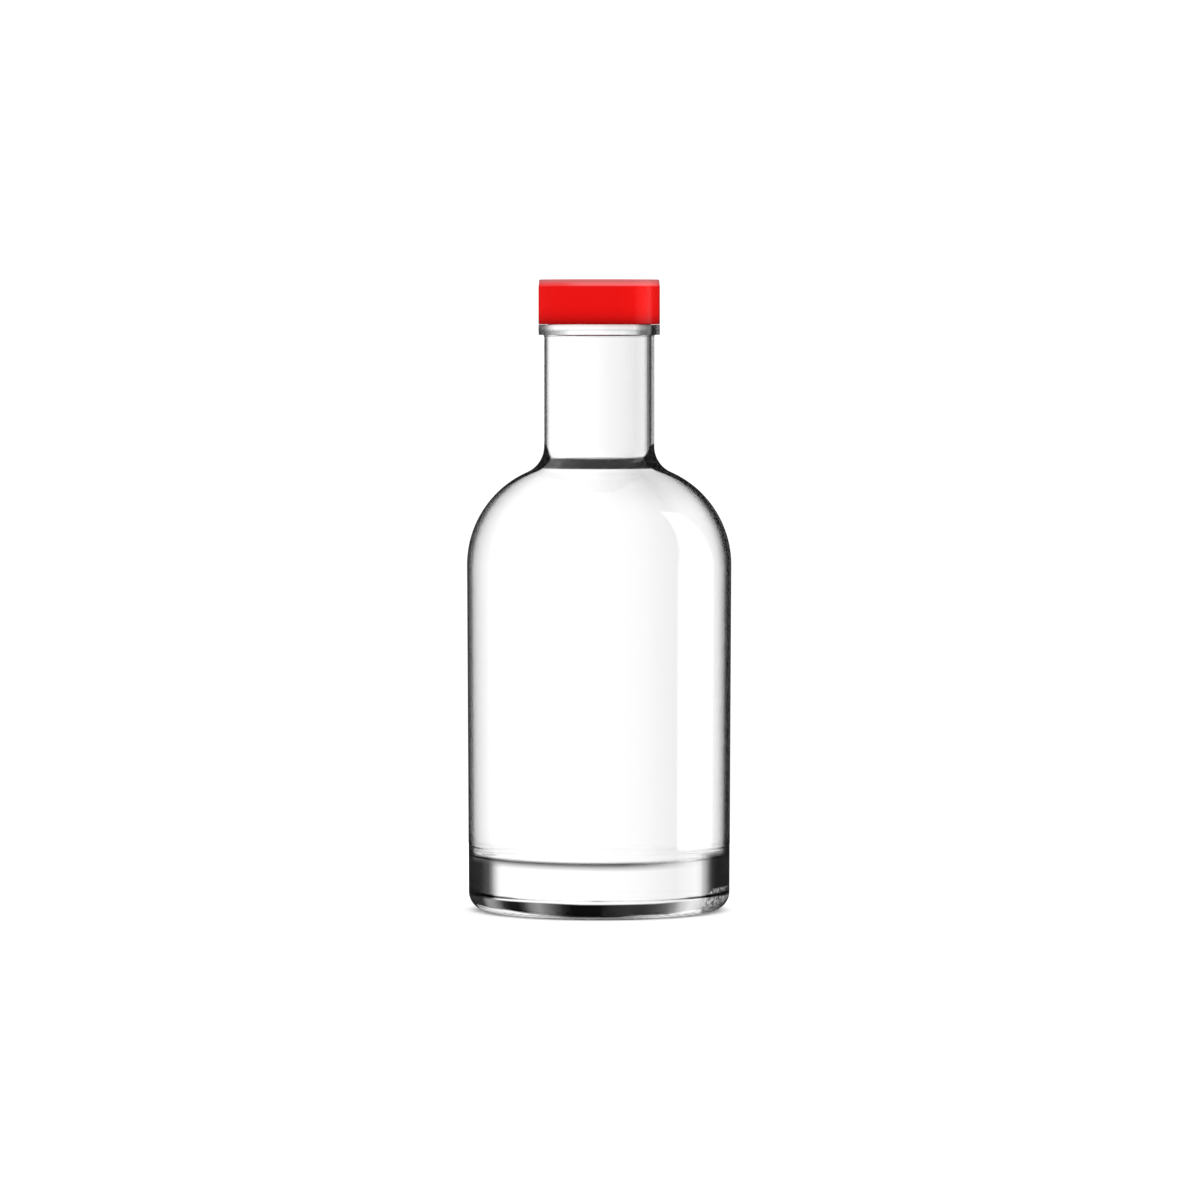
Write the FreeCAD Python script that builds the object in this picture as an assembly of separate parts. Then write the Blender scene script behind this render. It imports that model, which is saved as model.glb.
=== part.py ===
"""Screw-cap glass bottle, full of a clear drink, with its cap screwed on.

Three separate pieces, all turned about the vertical axis:

  glass_bottle   one pressed and blown glass body: thick solid base with a
                 shallow hollow underneath and a flat bearing ring, straight
                 round body, domed shoulder, straight neck, carry bead, and
                 the threaded finish that the cap hides
  clear_drink    the drink, which fills the inside up to the foot of the
                 neck and creeps a little way up the wall at its edge
  screw_cap      one moulded plastic cap with its thread inside

Millimetres.  +Z is up and is the turning axis.  The origin is the middle of
the base, in the plane of the bearing ring that the bottle stands on.
"""
import FreeCAD, Part
import math
import os

V = FreeCAD.Vector

# ---------------------------------------------------------------- dimensions
TOTAL_H = 155.0          # bearing ring to the top of the cap

# glass, outside
BODY_R_TOP = 32.5        # body radius where the shoulder begins
BODY_R_BASE = 32.1       # body radius where the heel begins (slight mould draft)
HEEL_R = 4.6             # rounding between body and bearing ring
RING_W = 3.6             # width of the flat bearing ring
PUNT_H = 1.7             # depth of the shallow hollow under the base
SHOULDER_R = 24.9        # radius of the shoulder dome, in section
SHOULDER_Z = 85.0        # height at which the shoulder leaves the body
NECK_R = 13.55           # outside radius of the neck
NECK_FILLET_R = 6.9      # hollow rounding where the neck meets the shoulder

# carry bead below the cap
BEAD_R = 14.9
BEAD_Z0 = 141.45         # underside of the bead
BEAD_Z1 = 143.8          # top of the bead
BEAD_UNDER_R = 14.78     # radius at the lower edge of the bead
BEAD_UNDER_EDGE = 0.3    # rounding of that edge
BEAD_FACE_Z = 142.6      # its upright face starts here
BEAD_EDGE_R = 0.2        # rounding of its upper edge

# threaded finish, under the cap
FINISH_R = 12.5          # root radius of the finish
FINISH_TOP = 153.7       # height of the sealing lip
LIP_R = 0.8              # rounding of the lip
THREAD_PITCH = 4.23      # six threads to the inch
THREAD_DEPTH = 1.0
THREAD_W = 2.2           # width of the ridge at its root
THREAD_TURNS = 1.25
THREAD_Z0 = 146.3        # height of the middle of the ridge where it starts

# glass, inside
WALL = 2.2               # wall of the body and the shoulder
WALL_BASE = 2.3          # wall just above the thick base
FLOOR_Z = 13.4           # inside floor, so the base is a thick slab
FLOOR_R = 2.6            # rounding between inside wall and floor
NECK_BORE_R = 11.8       # inside radius of the neck
MOUTH_R = 10.6           # narrower bore inside the finish
MOUTH_Z0 = 144.2         # the bore starts to narrow here
MOUTH_Z1 = 148.4         # and has narrowed to the mouth here

# drink
DRINK_Z = 109.1          # level in the middle
DRINK_CREEP = 0.5        # height of the creep up the glass
DRINK_CREEP_R = 2.6      # hollow rounding of the creep, in section

# cap
CAP_R = 14.9
CAP_Z0 = 144.0           # lower rim, just clear of the bead
CAP_TAPER_Z0 = 153.3     # a narrow bevel runs round the cap from here
CAP_TAPER_Z1 = 154.1     # to here
CAP_TAPER = 0.13         # and takes this much off the radius
CAP_EDGE_R = 0.35        # rounding of the top edge
CAP_RIM_R = 0.3          # rounding of the lower rim
CAP_TOP_T = 1.25         # thickness of the top plate
CAP_BORE_R = 13.75       # inside radius of the skirt
CAP_THREAD_DEPTH = 0.85
CAP_THREAD_W = 1.3
CAP_CLEAR = 0.14         # between the cap's thread and the ridge it rides under


# ------------------------------------------------------------ profile helper
class Profile:
    """A closed section in the r-z half plane, made of lines and arcs."""

    def __init__(self, r, z):
        self.at = V(r, 0, z)
        self.start = self.at
        self.edges = []

    def line(self, r, z):
        p = V(r, 0, z)
        if (p - self.at).Length > 1e-7:
            self.edges.append(Part.makeLine(self.at, p))
            self.at = p
        return self

    def arc(self, centre, r, z):
        """Short arc about centre from the present point to (r, z)."""
        c = V(centre[0], 0, centre[1])
        p = V(r, 0, z)
        a, b = self.at - c, p - c
        mid = a.normalize() + b.normalize()
        mid = c + mid.normalize() * (p - c).Length
        self.edges.append(Part.Arc(self.at, mid, p).toShape())
        self.at = p
        return self

    def solid(self):
        if (self.start - self.at).Length > 1e-7:
            self.edges.append(Part.makeLine(self.at, self.start))
        face = Part.Face(Part.Wire(self.edges))
        return face.revolve(V(0, 0, 0), V(0, 0, 1), 360.0)


def tangent_fillet(neck_r, fillet_r, dome_c, dome_r):
    """Centre of the rounding that touches the neck line and the dome, and
    the point where it touches the dome."""
    cr = neck_r + fillet_r
    reach = dome_r + fillet_r
    cz = dome_c[1] + math.sqrt(reach ** 2 - (cr - dome_c[0]) ** 2)
    k = dome_r / reach
    touch = (dome_c[0] + (cr - dome_c[0]) * k, dome_c[1] + (cz - dome_c[1]) * k)
    return (cr, cz), touch


def helical_ridge(root_r, depth, width, pitch, turns, z0, phase, inward):
    """A trapezoid ridge along a helix, sunk a little into the wall it grows
    from, cut square at its ends."""
    sign = -1.0 if inward else 1.0
    sink = 0.25
    base_r = root_r - sign * sink
    helix = Part.makeHelix(pitch, pitch * turns, root_r)
    half, crest = width / 2.0, width * 0.22
    pts = [V(base_r, 0, -half - sink * 0.4), V(root_r + sign * depth, 0, -crest),
           V(root_r + sign * depth, 0, crest), V(base_r, 0, half + sink * 0.4)]
    wire = Part.makePolygon(pts + [pts[0]])
    ridge = Part.Wire(helix).makePipeShell([wire], True, True)
    ridge.rotate(V(0, 0, 0), V(0, 0, 1), phase)
    ridge.translate(V(0, 0, z0))
    return ridge


# --------------------------------------------------------------- the bottle
def bottle_outside():
    """Solid of everything inside the outer skin of the glass."""
    dome_c = (BODY_R_TOP - SHOULDER_R, SHOULDER_Z)
    fil_c, touch = tangent_fillet(NECK_R, NECK_FILLET_R, dome_c, SHOULDER_R)
    contact_r = BODY_R_BASE - HEEL_R
    punt_r = contact_r - RING_W
    punt_R = (punt_r ** 2 + PUNT_H ** 2) / (2 * PUNT_H)

    p = Profile(0, PUNT_H)
    p.arc((0, PUNT_H - punt_R), punt_r, 0)             # shallow hollow
    p.line(contact_r, 0)                               # bearing ring
    p.arc((contact_r, HEEL_R), BODY_R_BASE, HEEL_R)    # heel
    p.line(BODY_R_TOP, SHOULDER_Z)                     # body
    p.arc(dome_c, *touch)                              # shoulder
    p.arc(fil_c, NECK_R, fil_c[1])                     # into the neck
    p.line(NECK_R, BEAD_Z0 - 0.35)                     # neck
    p.arc((NECK_R + 0.35, BEAD_Z0 - 0.35), NECK_R + 0.35, BEAD_Z0)
    p.line(BEAD_UNDER_R - BEAD_UNDER_EDGE, BEAD_Z0)    # underside of the bead
    p.arc((BEAD_UNDER_R - BEAD_UNDER_EDGE, BEAD_Z0 + BEAD_UNDER_EDGE),
          BEAD_UNDER_R, BEAD_Z0 + BEAD_UNDER_EDGE)
    p.line(BEAD_R, BEAD_FACE_Z)                        # flank of the bead
    p.line(BEAD_R, BEAD_Z1 - BEAD_EDGE_R)              # its upright face
    p.arc((BEAD_R - BEAD_EDGE_R, BEAD_Z1 - BEAD_EDGE_R),
          BEAD_R - BEAD_EDGE_R, BEAD_Z1)
    p.line(FINISH_R, BEAD_Z1)                          # shelf above the bead
    p.line(FINISH_R, FINISH_TOP - LIP_R)               # finish
    p.arc((FINISH_R - LIP_R, FINISH_TOP - LIP_R), FINISH_R - LIP_R, FINISH_TOP)
    p.line(0, FINISH_TOP)
    return p.solid()


def bottle_inside():
    """Solid of the air inside, up through the mouth."""
    dome_c = (BODY_R_TOP - SHOULDER_R, SHOULDER_Z)
    dome_R = SHOULDER_R - WALL
    fil_R = NECK_R + NECK_FILLET_R - NECK_BORE_R
    fil_c, touch = tangent_fillet(NECK_BORE_R, fil_R, dome_c, dome_R)
    in_top = BODY_R_TOP - WALL
    in_base = BODY_R_BASE - WALL_BASE
    # the narrowing of the bore: two equal arcs that meet half way
    dr, dz = (NECK_BORE_R - MOUTH_R) / 2, (MOUTH_Z1 - MOUTH_Z0) / 2
    turn = 2 * math.atan2(dr, dz)
    ease = dz / math.sin(turn)

    p = Profile(0, FLOOR_Z)
    p.line(in_base - FLOOR_R, FLOOR_Z)
    p.arc((in_base - FLOOR_R, FLOOR_Z + FLOOR_R), in_base, FLOOR_Z + FLOOR_R)
    p.line(in_top, SHOULDER_Z)
    p.arc(dome_c, *touch)
    p.arc(fil_c, NECK_BORE_R, fil_c[1])
    p.line(NECK_BORE_R, MOUTH_Z0)
    p.arc((NECK_BORE_R - ease, MOUTH_Z0), NECK_BORE_R - dr, MOUTH_Z0 + dz)
    p.arc((MOUTH_R + ease, MOUTH_Z1), MOUTH_R, MOUTH_Z1)
    p.line(MOUTH_R, FINISH_TOP - 0.5)
    p.line(MOUTH_R + 0.5, FINISH_TOP)                  # eased edge of the mouth
    p.line(MOUTH_R + 0.5, FINISH_TOP + 5)
    p.line(0, FINISH_TOP + 5)
    return p.solid()


def wall_radius(z):
    """Inside radius of the glass at a height in the rounding below the neck."""
    dome_c = (BODY_R_TOP - SHOULDER_R, SHOULDER_Z)
    fil_R = NECK_R + NECK_FILLET_R - NECK_BORE_R
    fil_c, touch = tangent_fillet(NECK_BORE_R, fil_R, dome_c, SHOULDER_R - WALL)
    if z >= fil_c[1]:
        return NECK_BORE_R
    if z >= touch[1]:
        return fil_c[0] - math.sqrt(fil_R ** 2 - (fil_c[1] - z) ** 2)
    return dome_c[0] + math.sqrt((SHOULDER_R - WALL) ** 2 - (z - dome_c[1]) ** 2)


def make_drink():
    """The inside, cut off by the drink's surface: flat in the middle, with
    its edge drawn up the glass in a hollow rounding."""
    edge_z = DRINK_Z + DRINK_CREEP
    edge_r = wall_radius(edge_z)
    swing = math.acos(1 - DRINK_CREEP / DRINK_CREEP_R)
    flat_r = edge_r - DRINK_CREEP_R * math.sin(swing)
    p = Profile(0, DRINK_Z)
    p.line(flat_r, DRINK_Z)
    p.arc((flat_r, DRINK_Z + DRINK_CREEP_R), edge_r, edge_z)
    p.line(edge_r + 3, edge_z)
    p.line(edge_r + 3, FINISH_TOP + 8)
    p.line(0, FINISH_TOP + 8)
    return bottle_inside().cut(p.solid())


def make_bottle():
    outer = bottle_outside()
    ridge = helical_ridge(FINISH_R, THREAD_DEPTH, THREAD_W, THREAD_PITCH,
                          THREAD_TURNS, THREAD_Z0, 0.0, False)
    return outer.fuse(ridge).cut(bottle_inside())


# ------------------------------------------------------------------- the cap
def make_cap():
    top = TOTAL_H
    top_r = CAP_R - CAP_TAPER
    p = Profile(0, top)
    p.line(top_r - CAP_EDGE_R, top)
    p.arc((top_r - CAP_EDGE_R, top - CAP_EDGE_R), top_r, top - CAP_EDGE_R)
    p.line(top_r, CAP_TAPER_Z1)
    p.line(CAP_R, CAP_TAPER_Z0)
    p.line(CAP_R, CAP_Z0 + CAP_RIM_R)
    p.arc((CAP_R - CAP_RIM_R, CAP_Z0 + CAP_RIM_R), CAP_R - CAP_RIM_R, CAP_Z0)
    p.line(CAP_BORE_R + 0.3, CAP_Z0)
    p.line(CAP_BORE_R, CAP_Z0 + 0.3)
    p.line(CAP_BORE_R, top - CAP_TOP_T - 0.6)
    p.line(CAP_BORE_R - 0.6, top - CAP_TOP_T)
    p.line(0, top - CAP_TOP_T)
    shell = p.solid()
    # the cap's ridge lies just under the bottle's, and pulls up against it
    drop = (THREAD_W + CAP_THREAD_W) / 2.0 * 0.72 + CAP_CLEAR
    ridge = helical_ridge(CAP_BORE_R, CAP_THREAD_DEPTH, CAP_THREAD_W,
                          THREAD_PITCH, 0.62, THREAD_Z0 - drop + 0.9, 76.6, True)
    return shell.fuse(ridge)


# --------------------------------------------------------------------- write
def main():
    os.makedirs("parts", exist_ok=True)
    nodes = {"glass_bottle": make_bottle(), "clear_drink": make_drink(),
             "screw_cap": make_cap()}
    for name, shape in list(nodes.items()):
        if shape.ShapeType == "Compound" and len(shape.Solids) == 1:
            shape = shape.Solids[0]
        box = shape.BoundBox
        print("%-13s solids %d valid %s volume %.1f mm3  box %.2f..%.2f %.2f..%.2f %.2f..%.2f"
              % (name, len(shape.Solids), shape.isValid(), shape.Volume,
                 box.XMin, box.XMax, box.YMin, box.YMax, box.ZMin, box.ZMax))
        nodes[name] = shape
        shape.exportStep("parts/%s.step" % name)
    for a, b in (("glass_bottle", "screw_cap"), ("glass_bottle", "clear_drink")):
        print("shared volume of %s and %s %.4f mm3"
              % (a, b, nodes[a].common(nodes[b]).Volume))
    print("brimful %.1f ml" % (bottle_inside().Volume / 1000.0
                               - math.pi * (MOUTH_R + 0.5) ** 2 * 5 / 1000.0))


main()
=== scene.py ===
import math
import bpy
import bmesh
import numpy as np
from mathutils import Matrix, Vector


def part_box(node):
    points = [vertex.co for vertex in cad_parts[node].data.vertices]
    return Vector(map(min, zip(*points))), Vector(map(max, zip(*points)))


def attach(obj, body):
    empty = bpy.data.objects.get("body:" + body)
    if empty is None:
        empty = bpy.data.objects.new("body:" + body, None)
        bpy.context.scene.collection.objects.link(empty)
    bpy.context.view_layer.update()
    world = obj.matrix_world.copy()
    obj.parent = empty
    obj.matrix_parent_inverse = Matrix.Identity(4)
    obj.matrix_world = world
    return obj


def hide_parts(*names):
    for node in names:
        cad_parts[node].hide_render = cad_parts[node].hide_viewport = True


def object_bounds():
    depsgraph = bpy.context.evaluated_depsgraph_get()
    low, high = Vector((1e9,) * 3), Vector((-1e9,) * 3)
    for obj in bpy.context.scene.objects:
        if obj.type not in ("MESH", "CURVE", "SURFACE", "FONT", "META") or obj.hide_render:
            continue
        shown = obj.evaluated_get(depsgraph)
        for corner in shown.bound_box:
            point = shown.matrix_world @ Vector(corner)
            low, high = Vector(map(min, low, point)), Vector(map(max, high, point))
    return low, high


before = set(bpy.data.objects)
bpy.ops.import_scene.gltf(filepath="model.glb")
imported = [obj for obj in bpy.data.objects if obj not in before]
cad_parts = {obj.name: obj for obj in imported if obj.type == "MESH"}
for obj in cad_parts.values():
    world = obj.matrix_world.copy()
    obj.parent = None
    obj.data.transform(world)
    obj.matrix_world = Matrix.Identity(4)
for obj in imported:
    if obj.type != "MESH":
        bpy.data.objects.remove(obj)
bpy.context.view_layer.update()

MM = 0.001

# ------------------------------------------------------------- CAD positions
glass_lo, glass_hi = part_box("glass_bottle")
drink_lo, drink_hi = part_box("clear_drink")
cap_lo, cap_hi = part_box("screw_cap")
BODY_R_TOP = (glass_hi[0] - glass_lo[0]) / 2 / MM      # 32.5 mm
FINISH_TOP = glass_hi[2] / MM
FLOOR_Z = drink_lo[2] / MM
DRINK_EDGE_Z = drink_hi[2] / MM
CAP_R = (cap_hi[0] - cap_lo[0]) / 2 / MM
CAP_Z0, CAP_TOP = cap_lo[2] / MM, cap_hi[2] / MM

# the rest of the section, in mm, as the construction has it, but for finer
# roundings on the bead and a bead that comes closer to the cap's rim
BODY_R_BASE, HEEL_R, RING_W, PUNT_H = 32.1, 4.6, 3.6, 1.7
SHOULDER_R, SHOULDER_Z = 24.9, 85.0
NECK_R, NECK_FILLET_R = 13.55, 6.9
BEAD_R, BEAD_Z0, BEAD_Z1, BEAD_UNDER_R, BEAD_FACE_Z, BEAD_EDGE_R = 14.9, 141.45, 143.92, 14.86, 142.6, 0.12
FINISH_R, LIP_R = 12.5, 0.8
PITCH, THREAD_DEPTH, THREAD_W, THREAD_TURNS, THREAD_Z0 = 4.23, 1.0, 2.2, 1.25, 146.3
WALL, WALL_BASE, INNER_HEEL_R = 2.2, 2.3, 2.6
NECK_BORE_R, MOUTH_R, MOUTH_Z0, MOUTH_Z1 = 11.8, 10.6, 144.2, 148.4
DRINK_CREEP, DRINK_CREEP_R = 0.5, 2.6
LEVEL = DRINK_EDGE_Z - DRINK_CREEP
CAP_TAPER_Z0, CAP_TAPER_Z1, CAP_TAPER = 153.3, 154.1, 0.13
CAP_EDGE_R, CAP_RIM_R, CAP_TOP_T, CAP_BORE_R = 0.35, 0.3, 1.25, 13.75
CAP_THREAD_DEPTH, CAP_THREAD_W, CAP_THREAD_TURNS, CAP_THREAD_PHASE = 0.85, 1.3, 0.62, 76.6
CAP_THREAD_Z0 = THREAD_Z0 - ((THREAD_W + CAP_THREAD_W) / 2 * 0.72 + 0.14) + 0.9


# ------------------------------------------------------------- section tools
class Section:
    """Points (r, z) along a section, in mm, close together where it bends."""

    def __init__(self, r, z):
        self.pts = [(r, z)]

    def line(self, r, z, fine=0.3, coarse=6.0, grow=1.8):
        """Short steps at both ends, so that the shading of a bend next to
        it doesn't run out along the straight stretch."""
        r0, z0 = self.pts[-1]
        length = math.hypot(r - r0, z - z0)
        steps, s = [], fine
        while sum(steps) * 2 + s * 2 < length:
            steps.append(s)
            s = min(s * grow, coarse)
        rest = length - 2 * sum(steps)
        n = max(1, int(math.ceil(rest / s)))
        cuts = steps + [rest / n] * n + steps[::-1]
        run = 0.0
        for c in cuts:
            run += c
            k = run / length if length else 1.0
            self.pts.append((r0 + (r - r0) * k, z0 + (z - z0) * k))
        return self

    def arc(self, centre, r, z, step=0.4):
        r0, z0 = self.pts[-1]
        a0 = math.atan2(z0 - centre[1], r0 - centre[0])
        a1 = math.atan2(z - centre[1], r - centre[0])
        turn = (a1 - a0 + math.pi) % (2 * math.pi) - math.pi
        rad0 = math.hypot(r0 - centre[0], z0 - centre[1])
        rad1 = math.hypot(r - centre[0], z - centre[1])
        n = max(4, int(math.ceil(abs(turn) * rad0 / step)))
        for k in range(1, n + 1):
            rad, a = rad0 + (rad1 - rad0) * k / n, a0 + turn * k / n
            self.pts.append((centre[0] + rad * math.cos(a), centre[1] + rad * math.sin(a)))
        return self


def tangent_fillet(neck_r, fillet_r, dome_c, dome_r):
    cr, reach = neck_r + fillet_r, dome_r + fillet_r
    cz = dome_c[1] + math.sqrt(reach ** 2 - (cr - dome_c[0]) ** 2)
    k = dome_r / reach
    return (cr, cz), (dome_c[0] + (cr - dome_c[0]) * k, dome_c[1] + (cz - dome_c[1]) * k)


DOME_C = (BODY_R_TOP - SHOULDER_R, SHOULDER_Z)


def outside_section():
    fil_c, touch = tangent_fillet(NECK_R, NECK_FILLET_R, DOME_C, SHOULDER_R)
    contact_r = BODY_R_BASE - HEEL_R
    punt_r = contact_r - RING_W
    punt_R = (punt_r ** 2 + PUNT_H ** 2) / (2 * PUNT_H)
    s = Section(0, PUNT_H)
    s.arc((0, PUNT_H - punt_R), punt_r, 0, 2.0)
    s.line(contact_r, 0, 0.3, 1.5)
    s.arc((contact_r, HEEL_R), BODY_R_BASE, HEEL_R, 0.26)
    s.line(BODY_R_TOP, SHOULDER_Z)
    s.arc(DOME_C, *touch, 0.75)
    s.arc(fil_c, NECK_R, fil_c[1], 0.4)
    s.line(NECK_R, BEAD_Z0 - 0.35)
    s.arc((NECK_R + 0.35, BEAD_Z0 - 0.35), NECK_R + 0.35, BEAD_Z0, 0.1)
    s.line(BEAD_UNDER_R - 0.08, BEAD_Z0, 0.1, 0.2)
    s.arc((BEAD_UNDER_R - 0.08, BEAD_Z0 + 0.08), BEAD_UNDER_R, BEAD_Z0 + 0.08, 0.03)
    s.line(BEAD_R, BEAD_FACE_Z, 0.1, 0.3)
    s.line(BEAD_R, BEAD_Z1 - BEAD_EDGE_R, 0.1, 0.4)
    s.arc((BEAD_R - BEAD_EDGE_R, BEAD_Z1 - BEAD_EDGE_R), BEAD_R - BEAD_EDGE_R, BEAD_Z1, 0.06)
    s.line(FINISH_R + 0.2, BEAD_Z1, 0.2, 0.5)
    s.arc((FINISH_R + 0.2, BEAD_Z1 + 0.2), FINISH_R, BEAD_Z1 + 0.2, 0.08)
    top = FINISH_TOP - LIP_R
    n = int((top - BEAD_Z1 - 0.2) / 0.32)
    for k in range(1, n + 1):
        s.pts.append((FINISH_R, BEAD_Z1 + 0.2 + (top - BEAD_Z1 - 0.2) * k / n))
    s.arc((FINISH_R - LIP_R, top), FINISH_R - LIP_R, FINISH_TOP, 0.16)
    return s.pts


def inside_section():
    """The inside of the glass, from the middle of its floor up to the lip."""
    in_base, in_top = BODY_R_BASE - WALL_BASE, BODY_R_TOP - WALL
    dome_R, fil_R = SHOULDER_R - WALL, NECK_R + NECK_FILLET_R - NECK_BORE_R
    fil_c, touch = tangent_fillet(NECK_BORE_R, fil_R, DOME_C, dome_R)
    dr, dz = (NECK_BORE_R - MOUTH_R) / 2, (MOUTH_Z1 - MOUTH_Z0) / 2
    ease = dz / math.sin(2 * math.atan2(dr, dz))
    s = Section(0, FLOOR_Z)
    s.line(in_base - INNER_HEEL_R, FLOOR_Z)
    s.arc((in_base - INNER_HEEL_R, FLOOR_Z + INNER_HEEL_R), in_base, FLOOR_Z + INNER_HEEL_R, 0.22)
    s.line(in_top, SHOULDER_Z)
    s.arc(DOME_C, *touch, 0.75)
    s.arc(fil_c, NECK_BORE_R, fil_c[1], 0.4)
    s.line(NECK_BORE_R, MOUTH_Z0)
    s.arc((NECK_BORE_R - ease, MOUTH_Z0), NECK_BORE_R - dr, MOUTH_Z0 + dz, 0.3)
    s.arc((MOUTH_R + ease, MOUTH_Z1), MOUTH_R, MOUTH_Z1, 0.3)
    s.line(MOUTH_R, FINISH_TOP - 0.5)
    s.arc((MOUTH_R + 0.5, FINISH_TOP - 0.5), MOUTH_R + 0.5, FINISH_TOP, 0.12)
    return s.pts


def drink_section(push):
    """The drink: the inside of the glass pushed out a little into the wall,
    under a surface whose edge creeps up the glass."""
    q = np.array(inside_section())
    along = np.gradient(q, axis=0)
    along /= np.hypot(along[:, 0], along[:, 1])[:, None]
    off = q + np.stack([along[:, 1], -along[:, 0]], 1) * push
    off[0, 0] = 0.0
    k = int(np.argmax((q[:, 1] >= DRINK_EDGE_Z) & (q[:, 1] > 50)))
    f = (DRINK_EDGE_Z - q[k - 1, 1]) / (q[k, 1] - q[k - 1, 1])
    edge_r = q[k - 1, 0] + (q[k, 0] - q[k - 1, 0]) * f
    pts = [tuple(p) for p in off[:k]]
    pts.append(tuple(off[k - 1] + (off[k] - off[k - 1]) * f))
    swing = math.acos(1 - DRINK_CREEP / DRINK_CREEP_R)
    level = DRINK_EDGE_Z - DRINK_CREEP
    flat_r = edge_r - DRINK_CREEP_R * math.sin(swing)
    s = Section(edge_r, DRINK_EDGE_Z)
    s.arc((flat_r, level + DRINK_CREEP_R), flat_r, level, 0.12)
    s.line(0, level, 0.25, 2.0)
    return pts + s.pts


def cap_section():
    top_r = CAP_R - CAP_TAPER
    s = Section(0, CAP_TOP)
    s.line(top_r - CAP_EDGE_R, CAP_TOP, 0.15, 1.5)
    s.arc((top_r - CAP_EDGE_R, CAP_TOP - CAP_EDGE_R), top_r, CAP_TOP - CAP_EDGE_R, 0.07)
    s.line(top_r, CAP_TAPER_Z1, 0.06, 0.1)
    s.line(CAP_R, CAP_TAPER_Z0, 0.06, 0.2)
    s.line(CAP_R, CAP_Z0 + CAP_RIM_R, 0.1, 1.0)
    s.arc((CAP_R - CAP_RIM_R, CAP_Z0 + CAP_RIM_R), CAP_R - CAP_RIM_R, CAP_Z0, 0.05)
    s.line(CAP_BORE_R + 0.3, CAP_Z0, 0.1, 0.3)
    s.line(CAP_BORE_R, CAP_Z0 + 0.3, 0.1, 0.2)
    top = CAP_TOP - CAP_TOP_T
    n = int((top - 0.6 - CAP_Z0 - 0.3) / 0.16)
    for k in range(1, n + 1):
        s.pts.append((CAP_BORE_R, CAP_Z0 + 0.3 + (top - 0.6 - CAP_Z0 - 0.3) * k / n))
    s.line(CAP_BORE_R - 0.6, top, 0.1, 0.3)
    s.line(0, top, 0.2, 2.0)
    return s.pts


# ---------------------------------------------------------------- mesh tools
def smooth01(x):
    x = np.clip(x, 0.0, 1.0)
    return x * x * (3 - 2 * x)


def ridge(theta, z, z0, pitch, turns, width, phase=0.0):
    """0 to 1: how far up a helical thread ridge each point is."""
    best = np.zeros_like(z)
    crest, half = width * 0.2, width * 0.55
    for k in range(-1, int(turns) + 2):
        t = (theta - phase) / (2 * math.pi) + k
        dz = np.abs(z - (z0 + pitch * t))
        h = smooth01(1 - (dz - crest) / (half - crest))
        h = h * smooth01(t / 0.05) * smooth01((turns - t) / 0.05)
        best = np.maximum(best, np.where((t >= 0) & (t <= turns), h, 0))
    return best


def turned(name, pts, seg, shape=None, sharp=32.0, second=None):
    """A closed mesh turned from a section whose ends lie on the axis.
    shape(r, z, theta) may move each ring's points; it works on arrays."""
    pts = np.array(pts)
    keep = [0] + [k for k in range(1, len(pts)) if np.hypot(*(pts[k] - pts[k - 1])) > 1e-5]
    pts = pts[keep]
    r, z = pts[:, 0], pts[:, 1]
    theta = np.arange(seg) * 2 * math.pi / seg
    R = np.repeat(r[1:-1, None], seg, 1)
    Z = np.repeat(z[1:-1, None], seg, 1)
    T = np.repeat(theta[None, :], len(R), 0)
    if shape is not None:
        R, Z = shape(R, Z, T)
    rings = np.stack([R * np.cos(T), R * np.sin(T), Z], 2).reshape(-1, 3)
    verts = np.vstack([[0, 0, z[0]], rings, [0, 0, z[-1]]]) * MM
    n, last = len(R), len(verts) - 1
    i = np.arange(seg)
    j = (i + 1) % seg
    faces = [(0, 1 + b, 1 + a) for a, b in zip(i.tolist(), j.tolist())]
    for k in range(n - 1):
        lo, hi = 1 + k * seg, 1 + (k + 1) * seg
        faces += list(zip((lo + i).tolist(), (lo + j).tolist(), (hi + j).tolist(), (hi + i).tolist()))
    lo = 1 + (n - 1) * seg
    faces += [(lo + a, lo + b, last) for a, b in zip(i.tolist(), j.tolist())]
    me = bpy.data.meshes.new(name)
    me.from_pydata(verts.tolist(), [], faces)
    me.update()
    if second is not None:                 # the faces from this point of the section on
        cut = int(np.argmin(np.hypot(*(pts - second).T)))
        for p in me.polygons[seg + (cut - 1) * seg:]:
            p.material_index = 1
    bm = bmesh.new()
    bm.from_mesh(me)
    if bm.calc_volume(signed=True) < 0:
        bmesh.ops.reverse_faces(bm, faces=bm.faces)
    bm.to_mesh(me)
    bm.free()
    for p in me.polygons:
        p.use_smooth = True
    me.set_sharp_from_angle(angle=math.radians(sharp))
    o = bpy.data.objects.new(name, me)
    bpy.context.scene.collection.objects.link(o)
    return o


# ---------------------------------------------------------------- the pieces
KNURLS = 64             # fine grip marks pressed round the foot of the heel
KNURL_D = 0.12
SEAM_D = 0.03


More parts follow.
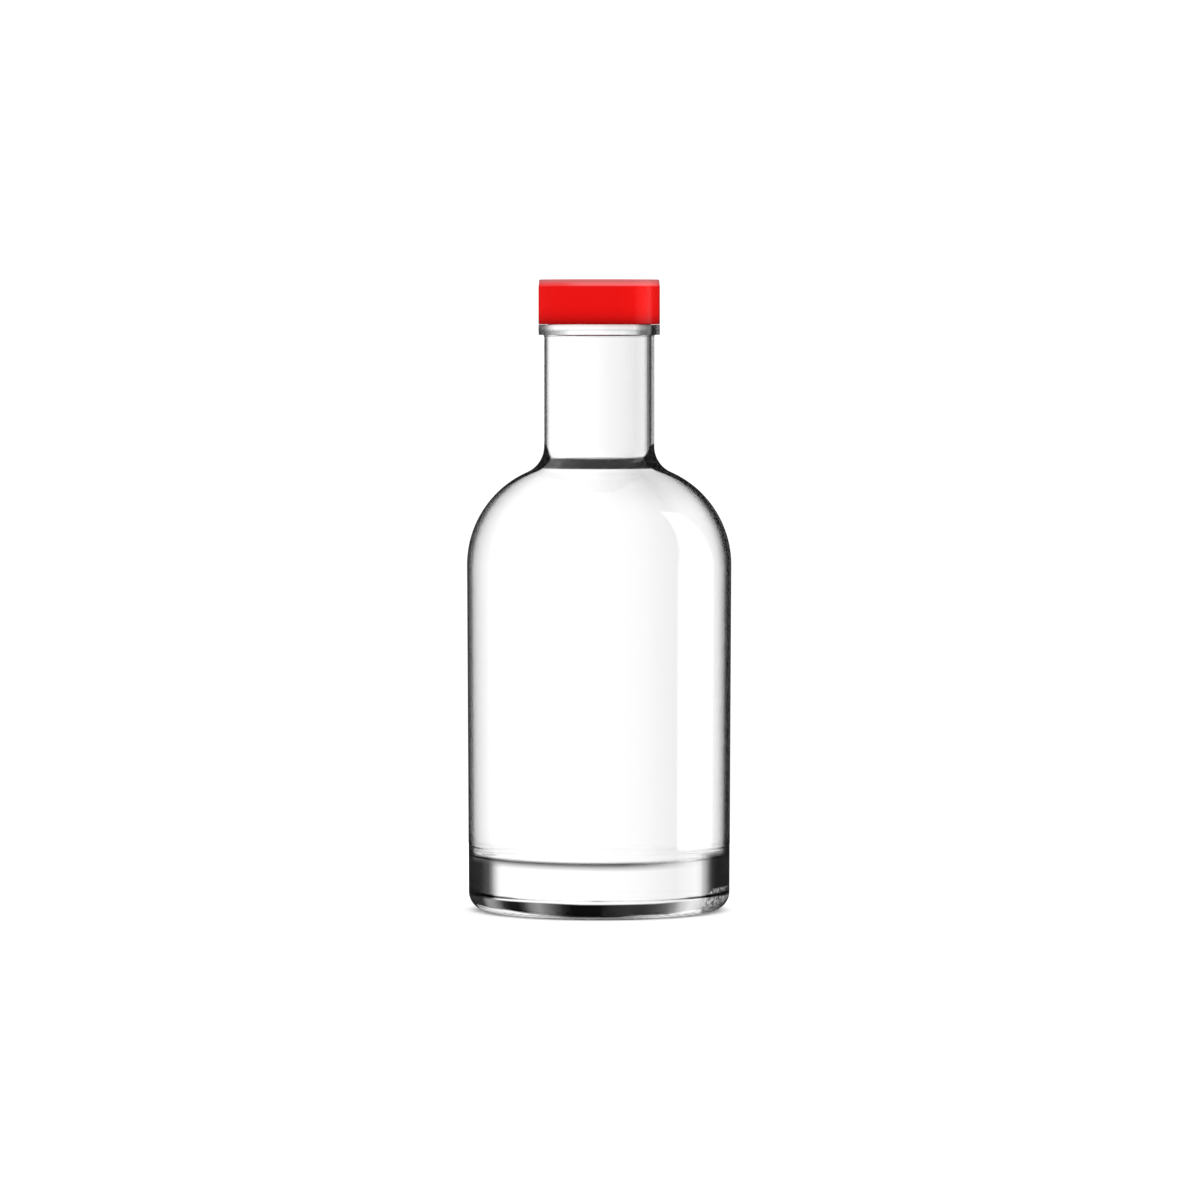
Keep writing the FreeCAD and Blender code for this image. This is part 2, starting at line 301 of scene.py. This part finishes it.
def shape_glass(R, Z, T):
    """Thread on the finish, the two faint mould seams at the sides, and the
    grip marks round the heel, which a bottle stands and slides on."""
    on_finish = (np.abs(R - FINISH_R) < 0.02) & (Z > BEAD_Z1 + 0.3)
    R = R + np.where(on_finish, THREAD_DEPTH * ridge(T, Z, THREAD_Z0, PITCH, THREAD_TURNS, THREAD_W), 0)
    skin = np.arange(len(R))[:, None] < len(outer) - 2
    contact_r = BODY_R_BASE - HEEL_R
    on_heel = skin & (R > contact_r) & (Z < HEEL_R)
    band = smooth01(Z / 0.15) * smooth01((1.5 - Z) / 0.9)
    wave = 0.5 + 0.5 * np.cos(KNURLS * T)
    uneven = 0.75 + 0.25 * np.sin(7 * T + 1.0) * np.sin(11 * T)
    tilt = np.arctan2(np.maximum(HEEL_R - Z, 1e-6), np.maximum(R - contact_r, 1e-6))
    push = np.where(on_heel, KNURL_D * band * wave * uneven, 0)
    R, Z = R - push * np.cos(tilt), Z + push * np.sin(tilt)
    side = np.minimum(np.abs(T - 0.5 * math.pi * 0), np.minimum(np.abs(T - math.pi), np.abs(T - 2 * math.pi)))
    seam = np.where(skin & (Z > 4.0) & (Z < BEAD_Z0 - 1.0), np.exp(-(side / 0.012) ** 2), 0)
    return R - SEAM_D * seam, Z


outer = outside_section()
inner = inside_section()
SEG = 256
glass = turned("bottle_glass", outer + inner[::-1], SEG, shape_glass, second=inner[-1])
drink = turned("bottle_drink", drink_section(0.12), SEG)


def shape_cap(R, Z, T):
    inside = (np.abs(R - CAP_BORE_R) < 0.02) & (Z > CAP_Z0 + 0.35)
    up = ridge(T, Z, CAP_THREAD_Z0, PITCH, CAP_THREAD_TURNS, CAP_THREAD_W, math.radians(CAP_THREAD_PHASE))
    return R - np.where(inside, CAP_THREAD_DEPTH * up, 0), Z


cap = turned("bottle_cap", cap_section()[::-1], SEG, shape_cap)

for piece, node, slot in ((glass, "glass_bottle", "clear_glass"),
                          (drink, "clear_drink", "clear_drink"),
                          (cap, "screw_cap", "red_plastic")):
    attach(piece, "root")
    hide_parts(node)


# ------------------------------------------------------------------ materials
class Nodes:
    """Short ways to add and join shader nodes."""

    def __init__(self, tree):
        self.nt = tree

    def new(self, kind, **values):
        n = self.nt.nodes.new(kind)
        for k, v in values.items():
            setattr(n, k, v)
        return n

    def put(self, socket, value):
        if isinstance(value, bpy.types.NodeSocket):
            self.nt.links.new(value, socket)
        else:
            socket.default_value = value

    def math(self, op, a, b=0.0, c=None, clamp=False):
        n = self.new("ShaderNodeMath", operation=op, use_clamp=clamp)
        self.put(n.inputs[0], a)
        self.put(n.inputs[1], b)
        if c is not None:
            self.put(n.inputs[2], c)
        return n.outputs[0]

    def ramp(self, x, x0, x1, y0=0.0, y1=1.0, kind="SMOOTHSTEP"):
        n = self.new("ShaderNodeMapRange", interpolation_type=kind, clamp=True)
        for k, v in zip(("Value", "From Min", "From Max", "To Min", "To Max"), (x, x0, x1, y0, y1)):
            self.put(n.inputs[k], v)
        return n.outputs[0]

    def curve(self, x, stops):
        """A chain of straight steps through stops of (x, y), x rising."""
        out = stops[0][1]
        for (x0, y0), (x1, y1) in zip(stops, stops[1:]):
            step = self.ramp(x, x0, x1, 0.0, y1 - y0, "LINEAR")
            out = self.math("ADD", step, out)
        return out

    def mix(self, f, a, b):
        """a where f is 0, b where it is 1; values, not colours."""
        n = self.new("ShaderNodeMix", data_type="FLOAT")
        self.put(n.inputs[0], f)
        self.put(n.inputs[2], a)
        self.put(n.inputs[3], b)
        return n.outputs[0]

    def grey(self, v):
        n = self.new("ShaderNodeCombineColor")
        for k in range(3):
            self.put(n.inputs[k], v)
        return n.outputs[0]


def material(name):
    m = bpy.data.materials.new(name)
    m.use_nodes = True
    nt = m.node_tree
    return m, Nodes(nt), nt.nodes["Principled BSDF"]


# Painted shade on the outer skin of the glass: how much light its colour lets in,
# by how steeply it is seen (0 face on, 1 edge on). It paints the dark edges a bottle shows
# where it bends in light from the unlit sides of the studio. The solid base bends it most,
# the empty neck least, and the right-hand edge is the broader one.
BODY_L = [(0.40, 1.0), (0.47, 0.93), (0.53, 0.86), (0.60, 0.77), (0.66, 0.65), (0.70, 0.48), (0.735, 0.25), (0.78, 0.16), (0.83, 0.08), (0.90, 0.05), (0.97, 0.12)]
BODY_R = [(0.34, 1.0), (0.45, 0.93), (0.51, 0.87), (0.57, 0.76), (0.62, 0.58), (0.66, 0.40), (0.69, 0.26), (0.71, 0.12), (0.76, 0.04), (0.80, 0.02), (0.88, 0.08), (0.97, 0.12)]
BASE_L = [(0.33, 1.0), (0.366, 0.86), (0.395, 0.62), (0.438, 0.23), (0.472, 0.08), (0.57, 0.025), (0.8, 0.01)]
BASE_R = [(0.33, 1.0), (0.373, 0.86), (0.392, 0.61), (0.413, 0.47), (0.435, 0.33), (0.4575, 0.17), (0.482, 0.065), (0.51, 0.03), (0.56, 0.012)]
NECK_L = [(0.54, 1.0), (0.59, 0.78), (0.625, 0.70), (0.673, 0.35), (0.72, 0.13), (0.80, 0.17), (0.86, 0.6), (0.95, 0.8)]
NECK_R_ = [(0.33, 1.0), (0.372, 0.93), (0.42, 0.78), (0.45, 0.56), (0.48, 0.5), (0.505, 0.25), (0.54, 0.2), (0.575, 0.12), (0.615, 0.06), (0.67, 0.09), (0.72, 0.55), (0.9, 0.8)]
# painted shade: a soft grey that deepens to the right of the front, by the angle round
BODY_GREY = [(-10, 1.0), (7, 0.925), (18, 0.89), (28, 0.83), (35, 0.80), (60, 1.0)]
NECK_GREY = [(-25, 1.0), (0, 0.87), (11, 0.82), (22, 0.79), (34, 0.74), (40, 0.67), (48, 0.67), (56, 0.8), (60, 1.0)]
# painted shade on the upper shoulder, by height, and how much of it shows, by the angle round
SHOULDER_GREY = [(98.5, 1.0), (101, 0.95), (103.3, 0.87), (106.2, 0.80), (109, 0.82)]
SHOULDER_ROUND = [(-90, 0.5), (-50, 0.3), (-10, 0.12), (0, 0.15), (12, 0.45), (25, 0.8), (38, 1.0), (90, 1.0), (130, 0.5)]
# painted shade: the dark corner where the shoulder turns up into the neck: its width in mm
# seen from the side, by height
CORNER = [(101, 0.0), (104, 0.6), (106, 1.2), (108.5, 2.2), (110.5, 2.6), (111.6, 2.2), (112.3, 1.5), (113.6, 0.8), (115.2, 0.0)]
# painted shade on the heel, which rolls under: dark patches, by the angle round
HEEL = [(-180, 0.02), (-152, 0.02), (-142, 0.6), (-128, 0.6), (-118, 0.03), (-98, 0.04), (-63, 0.03), (-58, 0.28), (-54, 0.28), (-50, 0.16),
        (-46.5, 0.03), (-43, 0.008), (-38, 0.008), (-35, 0.04), (-31, 0.2), (-27, 0.26), (-24, 0.17), (-20, 0.08), (-16, 0.02), (-12, 0.003),
        (0, 0.004), (5, 0.02), (12, 0.03), (20, 0.03), (26, 0.06), (31, 0.12), (35, 0.26), (39, 0.55), (44, 0.75), (49, 0.7),
        (55, 0.35), (61, 0.22), (100, 0.2), (104, 0.6), (112, 0.5), (120, 0.03), (160, 0.02), (180, 0.02)]
HEEL_TOP = [(-180, 4.2), (-24, 4.15), (-8, 3.95), (25, 3.95), (38, 4.15), (49, 4.15), (55, 5.0), (60, 6.5), (95, 6.5), (110, 4.2), (180, 4.2)]
HEEL_FOOT = [(-180, 1.2), (-100, 0.6), (-80, 0.8), (-72, 2.3), (-66, 2.2), (-58, 1.9), (-46, 1.9), (-36, 1.45), (-24, 1.1), (-12, 0.75),
             (8, 0.75), (15, 1.15), (20, 1.2), (33, 1.15), (39, 1.5), (44, 2.0), (52, 1.8), (58, 0.6), (100, 0.6), (130, 1.2), (180, 1.2)]
HEEL_UNDER = [(-110, 0.6), (-78, 1.0), (-35, 1.0), (-22, 0.55), (-14, 0.3), (14, 0.3), (22, 0.6), (32, 1.0), (100, 1.0), (140, 0.4), (180, 0.4)]
# a painted dark line on the outer skin, for the line where the inside floor meets the wall
ARC = [(12.2, 1.0), (13.0, 0.60), (13.5, 0.30), (13.85, 0.11), (14.1, 0.12), (14.4, 0.6), (14.7, 1.0)]
ARC_SAG = [(-60, 0.1), (-35, 0.24), (-12, 0.36), (0, 0.38), (20, 0.36), (35, 0.2), (60, 0.0)]
ARC_ON = [(-70, 0.3), (-60, 0.9), (10, 1.0), (20, 0.87), (28, 0.68), (35, 0.42), (42, 0.16), (55, 0.04), (75, 0.1), (100, 0.9)]
# painted shade on the bead: by height, by how far out from the middle it is seen, and by the angle round
BEAD_T = [(141.9, 1.0), (142.3, 0.93), (142.6, 0.76), (142.85, 0.84), (143.1, 0.96), (143.4, 0.93), (143.8, 0.80)]
BEAD_LOW_L = [(7.0, 1.0), (8.6, 0.7), (10.6, 0.45), (12.5, 0.4), (14.9, 0.6)]
BEAD_LOW_R = [(6.0, 1.0), (9.0, 0.75), (10.5, 0.35), (12.0, 0.3), (13.5, 0.8), (14.9, 1.0)]
BEAD_GREY = [(-20, 1.0), (0, 0.96), (10, 0.85), (30, 0.78), (50, 0.75)]
BEAD_L = [(10.8, 1.0), (11.8, 0.8), (12.5, 0.55), (13.5, 0.22), (14.4, 0.13), (14.9, 0.3)]
BEAD_R_ = [(8.8, 1.0), (10.0, 0.5), (11.0, 0.3), (12.0, 0.1), (13.0, 0.03), (13.8, 0.05), (14.6, 0.3)]
# painted shade for the dark band at the edge of the drink, by the angle round
RING = [(-70, 0.13), (-42, 0.13), (-36, 0.075), (-20, 0.048), (0, 0.04), (30, 0.04), (60, 0.03), (120, 0.04), (180, 0.06)]
NECK_SHEEN = 0.1


def glass_material(name, outer_skin):
    m, n, b = material(name)
    b.inputs["Base Color"].default_value = (1, 1, 1, 1)
    b.inputs["Roughness"].default_value = 0.0
    b.inputs["IOR"].default_value = 1.52
    b.inputs["Transmission Weight"].default_value = 1.0
    if not outer_skin:
        return m
    at = n.new("ShaderNodeSeparateXYZ")
    place = n.new("ShaderNodeTexCoord").outputs["Object"]
    n.put(at.inputs[0], place)
    x, y, z = (n.math("MULTIPLY", o, 1000.0) for o in at.outputs)      # mm
    geo = n.new("ShaderNodeNewGeometry")
    normal = n.new("ShaderNodeSeparateXYZ")
    n.put(normal.inputs[0], geo.outputs["Normal"])
    nz = normal.outputs[2]
    level = n.math("SQRT", n.math("MAXIMUM", n.math("SUBTRACT", 1.0, n.math("MULTIPLY", nz, nz)), 0.04))
    cosine = n.math("SUBTRACT", 1.0, n.new("ShaderNodeLayerWeight").outputs["Facing"])
    flat = n.math("MINIMUM", n.math("DIVIDE", cosine, level), 1.0)     # as an upright wall there would be seen
    steep = n.math("SUBTRACT", 1.0, flat)
    r = n.math("SQRT", n.math("ADD", n.math("MULTIPLY", x, x), n.math("MULTIPLY", y, y)))
    across = n.math("MULTIPLY", r, n.math("SQRT", n.math("MAXIMUM", n.math("SUBTRACT", 1.0, n.math("MULTIPLY", flat, flat)), 0.0)))
    right = n.ramp(n.math("DIVIDE", x, r), -0.6, 0.6)
    round_ = n.math("DEGREES", n.math("ARCTAN2", x, n.math("MULTIPLY", y, -1.0)))
    # a small round shoulder shows a narrower painted dark edge than the body does
    k = n.math("SQRT", n.math("DIVIDE", n.math("MULTIPLY", r, level), BODY_R_TOP))
    k = n.mix(n.ramp(z, SHOULDER_Z - 2, SHOULDER_Z + 4), 1.0, n.math("MULTIPLY", k, 0.92))
    domed = n.math("SUBTRACT", 1.0, n.math("MULTIPLY", flat, n.math("ADD", k, n.math("MULTIPLY", flat, n.math("SUBTRACT", 1.0, k)))))
    body = n.math("MULTIPLY", n.mix(right, n.curve(domed, BODY_L), n.curve(domed, BODY_R)), n.curve(round_, BODY_GREY))
    grey = n.math("SUBTRACT", 1.0, n.math("MULTIPLY", n.math("SUBTRACT", 1.0, n.curve(z, SHOULDER_GREY)), n.curve(round_, SHOULDER_ROUND)))
    body = n.math("MULTIPLY", body, grey)
    base = n.math("MULTIPLY", n.mix(right, n.curve(steep, BASE_L), n.curve(steep, BASE_R)), n.curve(round_, BODY_GREY))
    neck = n.math("MULTIPLY", n.mix(right, n.curve(steep, NECK_L), n.curve(steep, NECK_R_)), n.curve(round_, NECK_GREY))
    up = n.mix(right, n.ramp(z, 12.4, 14.4, kind="LINEAR"), n.ramp(z, 13.2, 15.6, kind="LINEAR"))
    t = n.math("MULTIPLY", n.math("POWER", base, n.math("SUBTRACT", 1.0, up)), n.math("POWER", body, up))
    arc = n.math("MULTIPLY", n.math("SUBTRACT", 1.0, n.curve(n.math("ADD", z, n.curve(round_, ARC_SAG)), ARC)), n.curve(round_, ARC_ON))
    t = n.math("MULTIPLY", t, n.math("SUBTRACT", 1.0, arc))
    t = n.mix(n.ramp(z, LEVEL + 1.5, LEVEL + 5.0), t, neck)
    # painted shade: the dark corner at the foot of the neck
    wide = n.math("MULTIPLY", n.curve(z, CORNER), n.mix(right, 0.95, 1.4))
    inset = n.math("SUBTRACT", n.math("SUBTRACT", r, across), wide)
    corner = n.math("MULTIPLY", n.ramp(inset, -0.1, 0.5, 1.0, 0.0), n.ramp(wide, 0.05, 0.5))
    t = n.mix(corner, t, 0.012)
    bead = n.math("MULTIPLY", n.mix(right, n.curve(across, BEAD_L), n.curve(across, BEAD_R_)), n.math("MULTIPLY", n.curve(z, BEAD_T), n.curve(round_, BEAD_GREY)))
    low = n.mix(right, n.curve(across, BEAD_LOW_L), n.curve(across, BEAD_LOW_R))
    bead = n.math("MULTIPLY", bead, n.mix(n.ramp(z, BEAD_Z0 + 0.8, BEAD_Z0 + 1.4, 1.0, 0.0), 1.0, low))
    t = n.mix(n.ramp(z, BEAD_Z0 - 0.1, BEAD_Z0 + 0.1), t, bead)
    # painted shade: a dark band round the glass at the edge of the drink
    brim = n.math("SUBTRACT", z, n.ramp(round_, 25, 50, 0.0, 0.3))
    ring = n.math("MULTIPLY", n.ramp(z, LEVEL - 0.45, LEVEL - 0.15), n.ramp(brim, LEVEL + 1.95, LEVEL + 2.6, 1.0, 0.0))
    t = n.mix(ring, t, n.math("MINIMUM", t, n.curve(round_, RING)))
    # painted shade on the heel, in patches, speckled with noise to the right
    top, foot = n.curve(round_, HEEL_TOP), n.curve(round_, HEEL_FOOT)
    shade_noise = n.new("ShaderNodeTexNoise")
    n.put(shade_noise.inputs["Vector"], place)
    shade_noise.inputs["Scale"].default_value = 1400.0
    shade_noise.inputs["Detail"].default_value = 1.0
    speckled_shade = n.math("MULTIPLY", n.ramp(shade_noise.outputs[0], 0.35, 0.65, 0.35, 1.7), n.curve(round_, HEEL))
    speckled_zone = n.math("MULTIPLY", n.ramp(round_, 50, 58), n.ramp(round_, 98, 104, 1.0, 0.0))
    rolled = n.mix(speckled_zone, n.curve(round_, HEEL), n.mix(n.ramp(steep, 0.34, 0.5), 0.8, speckled_shade))
    on = n.ramp(n.math("SUBTRACT", z, top), -0.25, 0.15, 1.0, 0.0)
    under = n.ramp(n.math("SUBTRACT", z, foot), -0.45, 0.1)
    t = n.mix(on, t, n.mix(under, n.math("MULTIPLY", n.curve(round_, HEEL_UNDER), 0.98), rolled))
    # the painted shade goes only where light goes in: what leaves on the far side is not dimmed again
    t = n.mix(geo.outputs["Backfacing"], t, 1.0)
    # painted reflection: the red of the cap painted faintly into the top of the bead
    cap_reflection = n.math("MULTIPLY", n.ramp(z, BEAD_Z1 - 1.1, BEAD_Z1 - 0.2), n.ramp(z, BEAD_Z1 + 0.1, BEAD_Z1 + 0.3, 1.0, 0.0))
    cap_reflection = n.math("MULTIPLY", cap_reflection, n.mix(geo.outputs["Backfacing"], 0.22, 0.0))
    tint = n.new("ShaderNodeCombineColor")
    n.put(tint.inputs[0], n.math("MULTIPLY", t, t))
    for k in (1, 2):
        n.put(tint.inputs[k], n.math("MULTIPLY", n.math("MULTIPLY", t, t), n.math("SUBTRACT", 1.0, cap_reflection)))
    n.put(b.inputs["Base Color"], tint.outputs[0])
    sheen = n.ramp(z, LEVEL - 7.0, LEVEL - 2.0, 1.0, NECK_SHEEN)
    n.put(b.inputs["Specular Tint"], n.grey(sheen))
    return m


def drink_material():
    m, n, b = material("clear_drink")
    b.inputs["Base Color"].default_value = (1, 1, 1, 1)
    b.inputs["Roughness"].default_value = 0.0
    b.inputs["IOR"].default_value = 1.335
    b.inputs["Transmission Weight"].default_value = 1.0
    return m


def cap_material():
    m, n, b = material("red_plastic")
    at = n.new("ShaderNodeSeparateXYZ")
    n.put(at.inputs[0], n.new("ShaderNodeTexCoord").outputs["Object"])
    x, y, z = (n.math("MULTIPLY", o, 1000.0) for o in at.outputs)      # mm
    round_ = n.math("DEGREES", n.math("ARCTAN2", x, n.math("MULTIPLY", y, -1.0)))
    shade = n.curve(z, [(CAP_Z0, 0.42), (CAP_Z0 + 0.5, 0.5), (CAP_Z0 + 1.4, 0.72), (CAP_Z0 + 2.6, 0.90), (CAP_Z0 + 4.5, 1.0)])
    # painted highlight: the bevel and the rolled top edge are painted a paler red
    bevel = n.math("MULTIPLY", n.ramp(z, CAP_TAPER_Z0 - 0.1, CAP_TAPER_Z0 + 0.35), n.ramp(z, CAP_TAPER_Z1 + 0.15, CAP_TAPER_Z1 + 0.45, 1.0, 0.45))
    front = n.math("MULTIPLY", n.ramp(round_, -40, -15), n.ramp(round_, 55, 85, 1.0, 0.0))
    bevel = n.math("MULTIPLY", bevel, n.mix(front, 0.45, 1.0))
    bevel = n.math("MULTIPLY", bevel, n.ramp(z, CAP_TOP - 0.03, CAP_TOP - 0.12))
    # painted highlight: the side is lightened at the left end and to the right of the front, by the angle round, but
    # not on the top
    side = n.ramp(z, CAP_TOP - 0.5, CAP_TOP - 0.2, 1.0, 0.0)
    shade = n.math("MULTIPLY", shade, n.mix(side, 1.0, n.curve(round_, CAP_ROUND)))
    # painted reflection: the rolled top edge turns a duller, greyer red
    top_edge_reflection = n.math("MULTIPLY", n.curve(z, CAP_TOP_REFLECTION), n.ramp(z, CAP_TOP - 0.03, CAP_TOP - 0.12))
    colour = n.new("ShaderNodeCombineColor")
    for k, (v, pale, dull) in enumerate(zip(CAP_RED, CAP_EDGE, CAP_REFLECTED_RED)):
        n.put(colour.inputs[k], n.mix(top_edge_reflection, n.mix(bevel, n.math("MULTIPLY", shade, v), pale), dull))
    n.put(b.inputs["Base Color"], colour.outputs[0])
    b.inputs["Roughness"].default_value = 0.2
    b.inputs["Specular IOR Level"].default_value = 0.035
    return m


# the pale red of the painted highlight on the bevel and the rolled top edge
CAP_EDGE = (0.55, 0.085, 0.09)
CAP_RED = (0.475, 0.0030, 0.0026)
# the greyer red of the painted reflection on the rolled top edge, and where it lies by height
CAP_REFLECTED_RED = (0.345, 0.098, 0.098)
CAP_TOP_REFLECTION = [(153.95, 0.0), (154.2, 0.6), (154.5, 0.7), (154.7, 1.0)]
# painted highlight on the cap's side, by the angle round
CAP_ROUND = [(-84, 1.12), (-72, 1.10), (-58, 1.0), (18, 1.0), (34, 1.06), (46, 1.19), (58, 1.10), (70, 1.0), (110, 1.0)]
glass.data.materials.append(glass_material("clear_glass", True))
glass.data.materials.append(glass_material("clear_glass_inside", False))
drink.data.materials.append(drink_material())
cap.data.materials.append(cap_material())

# ------------------------------------------------------------ floor and light
WHITE_SEEN = 1.1        # the backdrop as the camera sees it
WHITE_ROUND = 1.8       # the soft light all round, on floor and cap
WHITE_BEHIND = 1.14     # the backdrop as seen through the glass
lo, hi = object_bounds()
centre = (lo + hi) / 2
floor_me = bpy.data.meshes.new("studio_floor")
FLOOR_R = 0.22
ring = [(FLOOR_R * math.cos(a * math.pi / 48), FLOOR_R * math.sin(a * math.pi / 48), -0.00005) for a in range(96)]
floor_me.from_pydata(ring, [], [tuple(range(96))])
floor = bpy.data.objects.new("studio_floor", floor_me)
bpy.context.scene.collection.objects.link(floor)
fm, fn, fb = material("pale_floor")
seen = fn.new("ShaderNodeLightPath")
mirror = fn.math("MULTIPLY", seen.outputs["Is Glossy Ray"], fn.math("SUBTRACT", 1.0, seen.outputs["Is Transmission Ray"]))
through = fn.mix(seen.outputs["Is Transmission Ray"], 0.92, 0.0)
fn.put(fb.inputs["Base Color"], fn.grey(fn.mix(mirror, through, 0.02)))
fn.put(fb.inputs["Emission Color"], fn.grey(1.0))
fn.put(fb.inputs["Emission Strength"], fn.math("MULTIPLY", seen.outputs["Is Transmission Ray"], WHITE_BEHIND))
fb.inputs["Roughness"].default_value = 0.8
fb.inputs["Specular IOR Level"].default_value = 0.0
floor_me.materials.append(fm)

SIDE, ZENITH = 1.14, 1.14
ZEN0, ZEN1 = 30.0, 50.0
AZ0, AZ1 = 42.0, 52.0
GLOSSY = 0.03           # the unlit studio, in reflections
BOX = 4.0               # a tall soft box to the right of the camera
BOX_A0, BOX_A1, BOX_B0, BOX_B1 = 58.0, 70.0, 104.0, 110.0
BOX_E0, BOX_E1 = 48.0, 52.0

world = bpy.data.worlds.new("studio")
bpy.context.scene.world = world
world.use_nodes = True
world.cycles.sampling_method = "NONE"
n = Nodes(world.node_tree)
bg = world.node_tree.nodes["Background"]
bg.inputs["Color"].default_value = (1, 1, 1, 1)
ray = n.new("ShaderNodeLightPath")
d = n.new("ShaderNodeSeparateXYZ")
n.put(d.inputs[0], n.new("ShaderNodeTexCoord").outputs["Generated"])
az = n.math("DEGREES", n.math("ARCTAN2", d.outputs[0], d.outputs[1]))   # 0 behind the bottle, 90 to its right
el = n.math("DEGREES", n.math("ARCSINE", d.outputs[2]))
abs_az = n.math("ABSOLUTE", az)


def window(v, a0, a1, b0, b1):
    """1 between a1 and b0, falling to 0 at a0 and b1."""
    return n.math("MULTIPLY", n.ramp(v, a0, a1), n.ramp(v, b0, b1, 1.0, 0.0))


through = n.ramp(abs_az, AZ0, AZ1, WHITE_BEHIND, SIDE)
through = n.mix(n.ramp(el, ZEN0, ZEN1), through, ZENITH)
rise = n.math("MAXIMUM", el, 0.0)
near = n.ramp(n.math("SUBTRACT", az, n.math("MULTIPLY", rise, 0.3)), BOX_A0, BOX_A1)
far = n.ramp(n.math("ADD", az, n.math("MULTIPLY", rise, 0.28)), BOX_B0, BOX_B1, 1.0, 0.0)
roof = n.math("ADD", el, n.math("MULTIPLY", n.math("SUBTRACT", 92.0, az), n.ramp(el, 10.0, 30.0, 0.0, 0.54)))
side_box = n.math("MULTIPLY", n.math("MULTIPLY", near, far), window(roof, -13.0, -7.0, BOX_E0, BOX_E1))
mirrored = n.math("MULTIPLY", side_box, BOX)
mirrored = n.math("MAXIMUM", mirrored, GLOSSY)
light = n.mix(ray.outputs["Is Glossy Ray"], WHITE_ROUND, mirrored)
light = n.mix(ray.outputs["Is Transmission Ray"], light, through)
light = n.mix(ray.outputs["Is Camera Ray"], light, WHITE_SEEN)
n.put(bg.inputs["Strength"], light)

# --------------------------------------------------------------------- camera
cam = bpy.data.cameras.new("camera")
cam_ob = bpy.data.objects.new("camera", cam)
bpy.context.scene.collection.objects.link(cam_ob)
cam.sensor_width = 36.0
cam.lens = 205.4
cam_ob.location = (0, -1.682, 0.145)
aim = Vector((0.0002, 0, centre[2] - 0.0012))
cam_ob.rotation_mode = "QUATERNION"
cam_ob.rotation_quaternion = (aim - cam_ob.location).to_track_quat("-Z", "Y")
cam.clip_start, cam.clip_end = 0.01, 50.0
scene = bpy.context.scene
scene.camera = cam_ob
scene.view_settings.view_transform = "Standard"
CAUSTICS = True
scene.cycles.caustics_refractive = CAUSTICS
scene.cycles.max_bounces = 32
scene.cycles.transmission_bounces = 32
scene.cycles.glossy_bounces = 12
